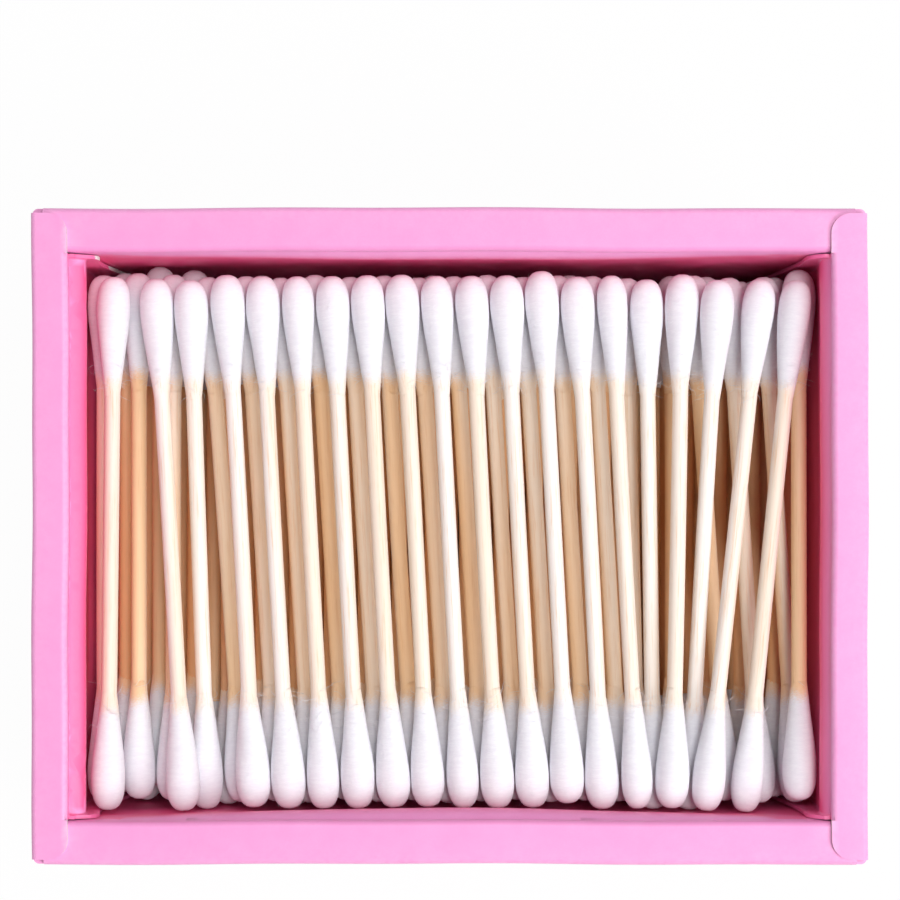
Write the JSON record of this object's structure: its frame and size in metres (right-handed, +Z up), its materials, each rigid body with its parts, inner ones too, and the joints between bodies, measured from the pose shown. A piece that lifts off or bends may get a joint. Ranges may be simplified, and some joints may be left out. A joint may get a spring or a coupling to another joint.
{
  "type": "cotton swab box",
  "caption": "Open rectangular paperboard tray with hollow folded walls, filled with rows of double-ended wooden cotton swabs lying side by side.",
  "frame": {"origin": "middle of the tray's underside, where it stands", "axes": "+X along the tray's long side, +Y along the swabs to the back wall, +Z up out of the open top"},
  "size_m": [0.1146, 0.09, 0.051],
  "materials": {
    "pink_card": "satin",
    "birch_wood": "satin",
    "cotton": "matte"
  },
  "bodies": {
    "root": {"layer_1_cotton_tips": "cotton", "layer_1_sticks": "birch_wood", "layer_2_cotton_tips": "cotton", "layer_2_sticks": "birch_wood", "layer_3_cotton_tips": "cotton", "layer_3_sticks": "birch_wood", "layer_4_cotton_tips": "cotton", "layer_4_sticks": "birch_wood", "layer_5_cotton_tips": "cotton", "layer_5_sticks": "birch_wood", "layer_6_cotton_tips": "cotton", "layer_6_sticks": "birch_wood", "layer_7_cotton_tips": "cotton", "layer_7_sticks": "birch_wood", "layer_8_cotton_tips": "cotton", "layer_8_sticks": "birch_wood", "layer_9_cotton_tips": "cotton", "layer_9_sticks": "birch_wood", "top_cotton_tips_01": "cotton", "top_cotton_tips_02": "cotton", "top_cotton_tips_03": "cotton", "top_cotton_tips_04": "cotton", "top_cotton_tips_05": "cotton", "top_cotton_tips_06": "cotton", "top_cotton_tips_07": "cotton", "top_cotton_tips_08": "cotton", "top_cotton_tips_09": "cotton", "top_cotton_tips_10": "cotton", "top_cotton_tips_11": "cotton", "top_cotton_tips_12": "cotton", "top_cotton_tips_13": "cotton", "top_cotton_tips_14": "cotton", "top_cotton_tips_15": "cotton", "top_cotton_tips_16": "cotton", "top_cotton_tips_17": "cotton", "top_cotton_tips_18": "cotton", "top_cotton_tips_19": "cotton", "top_cotton_tips_20": "cotton", "top_stick_01": "birch_wood", "top_stick_02": "birch_wood", "top_stick_03": "birch_wood", "top_stick_04": "birch_wood", "top_stick_05": "birch_wood", "top_stick_06": "birch_wood", "top_stick_07": "birch_wood", "top_stick_08": "birch_wood", "top_stick_09": "birch_wood", "top_stick_10": "birch_wood", "top_stick_11": "birch_wood", "top_stick_12": "birch_wood", "top_stick_13": "birch_wood", "top_stick_14": "birch_wood", "top_stick_15": "birch_wood", "top_stick_16": "birch_wood", "top_stick_17": "birch_wood", "top_stick_18": "birch_wood", "top_stick_19": "birch_wood", "top_stick_20": "birch_wood", "tray": "pink_card"}
  },
  "joints": []
}
